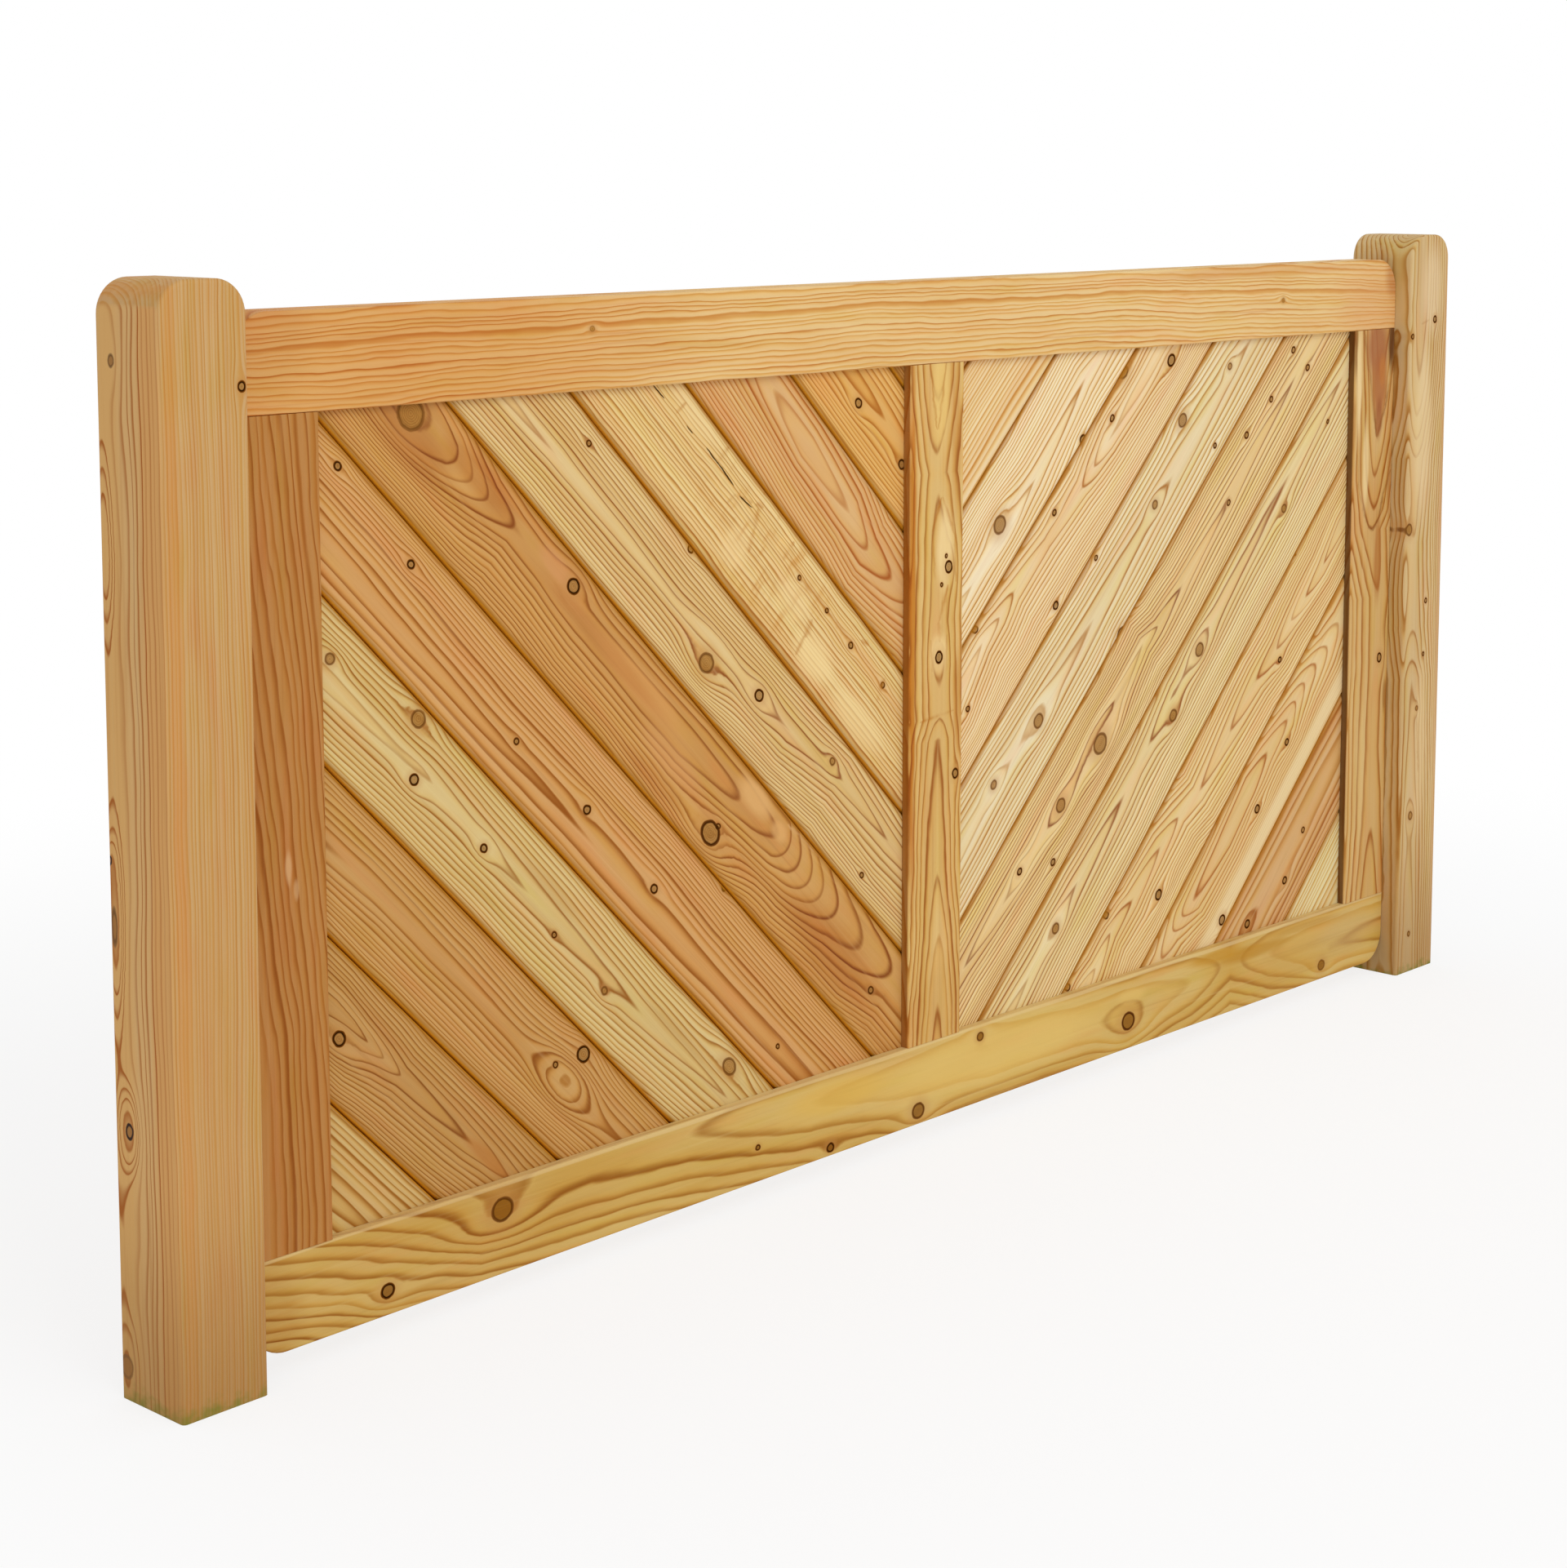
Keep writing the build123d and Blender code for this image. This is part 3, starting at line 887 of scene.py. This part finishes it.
# the frame
topRail = {
    "node": "top_rail", "centre": (0, 876), "frontFace": -21, "seed": 41.0, "early": (227, 187, 123),
    "late": (198, 131, 58), "shade": (215, 161, 92), "ring": 5.2, "wave": 7, "ripple": 3.0,
    "tips": ((-900, 738, 6), (-300, 748, 6), (300, 748, 6), (900, 732, 6)),
    "uneven": 0.6, "squeeze": 0.0, "streak": 0.4, "ringTint": 0.12, "faint": 0.35,
    "knots": ((-491, 890, 3, "sound", {"darkness": 0.1}), (647, 877, 3, "sound", {"darkness": 0.1})),
    "tones": (
        # the second tone is painted shade at the rail's rounded upper left corner
        (-760, 876, 400, 130, 1.0, (240, 214, 186)), (-870, 900, 60, 60, 0.6, (226, 196, 166)),
        (-200, 876, 420, 90, 0.35, (248, 240, 226)),
    ),
    "patches": (
        (880, 860, 130, 60, 0.4, (216, 150, 92)), (896, 900, 22, 30, 0.5, (176, 104, 48)),
        (600, 912, 250, 7, 0.35, (206, 132, 72)),
    ),
}
dress(topRail, alongRail)

bottomRail = {
    "node": "bottom_rail", "centre": (0, 63), "frontFace": -21, "seed": 42.0, "early": (211, 173, 98),
    "late": (156, 104, 10), "shade": (192, 143, 38), "ring": 10.0, "wave": 9, "ripple": 3.0, "point": 1.8,
    "squeeze": 0.0, "streak": 0.2, "faint": 0.25, "fade": (-500, 200, 0.7), "soundHeart": (152, 98, 4),
    "oldHeart": (136, 84, 10),
    "tips": (
        (-980, 200, 6), (-780, 150, 6), (-640, 112, 6), (-500, 100, 6.5), (-369, 96, 6), (-190, 80, 5),
        (-60, 76, 4.4), (100, 74, 4), (350, 66, 4.2), (480, 76, 5), (560, 84, 6.3), (640, 76, 5),
        (780, 64, 4), (900, 60, 3.4),
    ),
    "knots": (
        (-750, 43, 7, "ringed"), (-613, 82, 12, "sound", {"darkness": 0.6, "swirl": -1.0}),
        (-270, 56, 3, "pin"), (-161, 29, 5, "ringed"), (-21, 35, 9, "sound", {"darkness": 0.6}),
        (83, 94, 5, "sound", {"darkness": 0.6}), (354, 53, 11, "sound", {"darkness": 0.7, "swirl": -1.0}),
        (760, 38, 7, "sound", {"darkness": 0.4}),
    ),
    "patches": (
        (110, 70, 230, 34, 0.6, (232, 198, 112)), (-150, 82, 90, 20, 0.6, (224, 182, 84)),
        (612, 86, 84, 10, 0.7, (186, 130, 22)), (530, 94, 60, 8, 0.7, (194, 140, 36)),
        (720, 96, 90, 6, 0.5, (188, 134, 40)), (700, 60, 90, 30, 0.3, (196, 146, 56)),
        (820, 70, 70, 30, 0.4, (202, 168, 110)), (360, 82, 28, 10, 0.6, (226, 190, 108)),
    ),
    "tones": ((-700, 63, 240, 80, 0.8, (246, 237, 226)), (-880, 50, 40, 60, 0.5, (220, 196, 160))),
    # the stripe is a painted highlight along the rail's lit upper edge and top
    "stripes": ((40.5, 45, 0.8, 0.55, (228, 202, 146)),),
}
dress(bottomRail, alongRail)

leftStile = {
    "node": "stile_left", "centre": (-855, 470), "frontFace": -21, "seed": 43.0, "early": (182, 123, 62),
    "late": (148, 88, 14), "shade": (167, 105, 42), "ring": 7.5, "wave": 10, "ripple": 3.0,
    "tips": ((-890, 60, 4), (-900, 300, 4), (-925, 560, 5), (-950, 860, 6)),
    "uneven": 0.7, "squeeze": 0.0, "faint": 0.35, "ringTint": 0.2,
    "patches": ((-851, 445, 16, 4, 0.6, (216, 172, 120)), (-843, 425, 10, 3, 0.5, (214, 170, 118))),
}
dress(leftStile, alongUpright)

mullion = {
    "node": "mullion", "centre": (5, 470), "frontFace": -21, "seed": 44.0, "early": (220, 178, 106),
    "late": (158, 92, 0), "shade": (199, 144, 67), "ring": 7.4, "point": 1.6, "wave": 9, "ripple": 4.0,
    "faint": 0.35, "uneven": 0.5,
    "tips": (
        (8, 60, 3), (8, 152, 4), (9, 220, 5), (7, 289, 6), (9, 433, 7), (12, 458, 8), (9, 560, 8.3),
        (12, 640, 8.4), (9, 703, 9), (8, 718, 9.3), (7, 733, 9), (7, 790, 8), (7, 860, 7),
    ),
    "knots": (
        (24, 617, 6, "ringed"), (9, 522, 6, "ringed"), (37, 393, 5, "ringed"), (20, 629, 2, "pin"),
        (13, 599, 2, "pin"),
    ),
    "haloAmount": 0.3,
    "patches": (
        (18, 638, 46, 15, 0.8, (242, 212, 152)), (9, 526, 22, 15, 0.8, (242, 210, 146)),
        (10, 800, 60, 16, 0.6, (238, 202, 122)),
    ),
    "tones": (
        (-34, 560, 330, 6, 1.0, (226, 178, 104)), (40, 470, 60, 8, 0.6, (226, 186, 134)),
        (36, 760, 90, 8, 0.5, (226, 190, 140)), (8, 140, 60, 60, 0.5, (238, 222, 200)),
    ),
    "veins": (
        (12, 692, -4, 655, 4), (-4, 655, 2, 606, 4), (14, 692, 34, 650, 4), (34, 650, 36, 600, 4),
        (24, 598, 8, 560, 5), (8, 560, 10, 538, 5), (-5, 542, -2, 508, 3.5), (22, 545, 22, 506, 3.5),
        (-22, 456, 34, 462, 4), (-8, 833, 4, 764, 3.5), (18, 833, 6, 764, 3.5),
    ),
    "veinColour": (180, 108, 14), "veinAmount": 0.85,
    "reveals": ((38, 44, 0.75, (150, 86, 24)),),
}
dress(mullion, alongUpright)

rightStile = {
    "node": "stile_right", "centre": (855, 470), "frontFace": -21, "seed": 45.0, "early": (212, 169, 104),
    "late": (157, 90, 0), "shade": (190, 134, 54), "ring": 7.5, "point": 1.7, "wave": 8, "ripple": 3.0,
    "squeeze": 0.001,
    "tips": (
        (869, 100, 8), (869, 202, 9), (866, 300, 9.5), (868, 415, 9.5), (873, 495, 9), (853, 580, 8),
        (859, 605, 7), (860, 645, 6), (864, 695, 5), (868, 833, 3),
    ),
    "knots": ((880, 415, 5.5, "ringed"),),
    "patches": (
        (860, 812, 44, 28, 0.85, (166, 102, 64)), (866, 764, 44, 19, 0.85, (172, 104, 58)),
        (866, 722, 28, 9, 0.8, (158, 92, 52)), (872, 780, 22, 8, 0.6, (196, 126, 62)),
        (893, 818, 40, 9, 0.9, (92, 48, 18)), (813, 812, 40, 4, 0.6, (132, 84, 40)),
        (820, 770, 80, 6, 0.8, (242, 214, 156)), (838, 665, 60, 7, 0.7, (240, 212, 154)),
        (870, 545, 60, 9, 0.65, (172, 104, 42)), (894, 640, 50, 6, 0.5, (168, 104, 44)),
        (842, 270, 110, 10, 0.4, (226, 196, 132)), (894, 365, 24, 5, 0.6, (150, 90, 34)),
    ),
    "veins": (
        (827, 836, 842, 780, 6), (842, 784, 862, 698, 6), (897, 792, 880, 730, 6), (880, 734, 864, 698, 6),
        (817, 680, 826, 627, 5), (826, 630, 848, 584, 5), (846, 586, 860, 580, 5), (857, 580, 873, 596, 5),
        (872, 593, 880, 627, 5), (880, 624, 897, 654, 5),
    ),
    "veinColour": (128, 70, 12), "veinAmount": 0.95,
    "reveals": ((40, 46, 0.85, (92, 54, 18)),),
}
dress(rightStile, alongUpright)

# the posts and their dowels
leftPost = {
    "node": "post_left", "centre": (-944, 475), "frontFace": -44, "seed": 51.0, "moss": 16,
    "early": (197, 153, 96), "late": (182, 126, 64), "shade": (196, 144, 82), "ring": 3.4,
    "pithAcross": 156, "deepRings": 23, "wave": 6, "ripple": 0.8, "step": 4000, "wander": 0.4,
    # the outer face's early colour is painted paler, as painted light on that side
    "streak": 0.3, "squeeze": 0.0, "faint": 0.2, "ringTint": 0.2, "sideLitEarly": (216, 172, 112),
    "sideLate": (166, 94, 24),
    "knots": ((-907, 861, 4, "ringed"),),
    "sideKnots": (
        (22, 883, 4, "sound", 1.4, -0.8), (23, 237, 5, "ringed", 1.4, -4.0),
        (35, 29, 9, "sound", 1.2, -2.0), (37, 410, 4, "sound", 4.0, -4.0), (38, 730, 4, "bend", 4.0, -2.5),
        (41, 466, 2.5, "ringed", 1.4, -1.0),
    ),
    "sideStripes": ((2, 28, 6, 0.8, (254, 236, 214)), (58, 92, 8, 0.8, (255, 248, 230))),
    "patches": ((-978, 475, 700, 8, 0.45, (206, 138, 68)), (-950, 250, 240, 30, 0.3, (198, 144, 84))),
}
dress(leftPost, alongUpright)

rightPost = {
    "node": "post_right", "centre": (944, 475), "frontFace": -44, "seed": 52.0, "moss": 13,
    "early": (211, 177, 121), "late": (166, 116, 46), "shade": (195, 152, 93), "ring": 6.0, "point": 1.8,
    "wave": 6, "ripple": 2.5, "faint": 0.6,
    "tips": (
        (924, 0, 4), (926, 200, 5), (922, 385, 6), (921, 410, 7), (921, 450, 8), (921, 500, 8.4),
        (918, 560, 8.4), (920, 668, 7), (920, 690, 6), (920, 720, 5), (922, 762, 4), (925, 860, 3),
    ),
    "knots": (
        (957, 843, 4, "ringed"), (905, 823, 3, "pin"), (907, 578, 7, "sound"), (951, 483, 3, "pin"),
        (948, 414, 2.5, "pin"), (926, 206, 5, "sound"), (929, 50, 3, "pin"), (935, 345, 3, "sound"),
    ),
    "veins": ((933, 360, 943, 260, 3.0), (945, 843, 925, 838, 3.0)),
    "patches": (
        (934, 700, 120, 22, 0.6, (236, 208, 160)), (950, 880, 60, 26, 0.55, (232, 205, 162)),
        (946, 300, 120, 14, 0.5, (232, 202, 150)), (984, 475, 600, 7, 0.35, (210, 156, 112)),
        (914, 640, 260, 12, 0.3, (228, 192, 128)),
    ),
}
dress(rightPost, alongUpright)

for side in ("left", "right"):
    dowels = {
        "node": "post_dowels_" + side, "centre": (-900 if side == "left" else 900, 470), "frontFace": -6,
        "seed": 61.0, "early": (214, 180, 136), "late": (184, 142, 96), "ring": 2.5, "pithAcross": -30,
    }
    dress(dowels, alongRail)

# studio, in metres: a pale floor, white all round, soft light
studio = {
    "floorSize": 40.0, "floorColour": (250, 250, 250), "skyStrength": 0.7,
    "floorGlow": 0.78,                  # near the fence, and full from whiteFrom to whiteBy
    "whiteFrom": 0.9, "whiteBy": 2.2,
    "lampSize": (4.0, 3.0), "lampEnergy": 92.0, "lampPlace": (-1.0, -4.5, 3.6), "lampAim": (0, 0, 0.45),
}


def seenRays(tree):
    # the camera, reflections and glass see the white background
    rays = addNode(tree, "ShaderNodeLightPath").outputs
    seen = calc("MAXIMUM", rays["Is Camera Ray"], rays["Is Glossy Ray"])
    return calc("MAXIMUM", seen, rays["Is Transmission Ray"])


floorMesh = bpy.data.meshes.new("floor")
floorShape = bmesh.new()
bmesh.ops.create_grid(floorShape, x_segments=1, y_segments=1, size=studio["floorSize"])
floorShape.to_mesh(floorMesh)
floorShape.free()
floor = bpy.data.objects.new("floor", floorMesh)
bpy.context.scene.collection.objects.link(floor)
floorMaterial = bpy.data.materials.new("paleFloor")
floorTree = emptyTree(floorMaterial)
matt = addNode(floorTree, "ShaderNodeBsdfDiffuse", {"Color": paint(studio["floorColour"])})
glow = addNode(floorTree, "ShaderNodeEmission", {"Strength": 1.0})
spot = addNode(floorTree, "ShaderNodeTexCoord").outputs["Object"]
farOff = addNode(floorTree, "ShaderNodeVectorMath", (spot,), operation="LENGTH").outputs["Value"]
white = ease(farOff, studio["whiteFrom"], studio["whiteBy"], studio["floorGlow"], 1.0)
share = times(seenRays(floorTree), white)
mixed = addNode(floorTree, "ShaderNodeMixShader", (share, matt.outputs[0], glow.outputs[0]))
addNode(floorTree, "ShaderNodeOutputMaterial", {"Surface": mixed.outputs[0]})
floorMesh.materials.append(floorMaterial)

world = bpy.data.worlds.new("whiteStudio")
bpy.context.scene.world = world
worldTree = emptyTree(world)
soft = addNode(worldTree, "ShaderNodeBackground", {"Color": (1, 1, 1, 1), "Strength": studio["skyStrength"]})
plain = addNode(worldTree, "ShaderNodeBackground", {"Color": (1, 1, 1, 1), "Strength": 1.0})
sky = addNode(worldTree, "ShaderNodeMixShader", (seenRays(worldTree), soft.outputs[0], plain.outputs[0]))
addNode(worldTree, "ShaderNodeOutputWorld", {"Surface": sky.outputs[0]})

lamp = bpy.data.lights.new("softbox", "AREA")
lamp.shape = "RECTANGLE"
lamp.size, lamp.size_y = studio["lampSize"]
lamp.energy = studio["lampEnergy"]
lampObject = bpy.data.objects.new("softbox", lamp)
bpy.context.scene.collection.objects.link(lampObject)
lampObject.location = studio["lampPlace"]
lampAhead = Vector(studio["lampAim"]) - lampObject.location
lampObject.rotation_euler = lampAhead.to_track_quat("-Z", "Y").to_euler()
print("studio ready")

# the camera's place is in millimetres, its turn and pitch in degrees
view = {
    "lens": 68.97, "sensor": 36.0, "shift": -0.18, "clipEnd": 100.0,
    "turn": 42.947, "pitch": 6.541, "place": (-2398.9, -2037.7, 1047.1),
}
cameraData = bpy.data.cameras.new("camera")
cameraData.lens = view["lens"]
cameraData.sensor_width = view["sensor"]
cameraData.shift_y = view["shift"]
cameraData.clip_end = view["clipEnd"]
camera = bpy.data.objects.new("camera", cameraData)
bpy.context.scene.collection.objects.link(camera)
turn, pitch = math.radians(view["turn"]), math.radians(view["pitch"])
ahead = Vector((math.cos(turn) * math.cos(pitch), math.sin(turn) * math.cos(pitch), -math.sin(pitch)))
camera.location = Vector(view["place"]) / 1000
camera.rotation_euler = ahead.to_track_quat("-Z", "Y").to_euler()
bpy.context.scene.camera = camera
bpy.context.scene.view_settings.view_transform = "Standard"
print("camera ready")
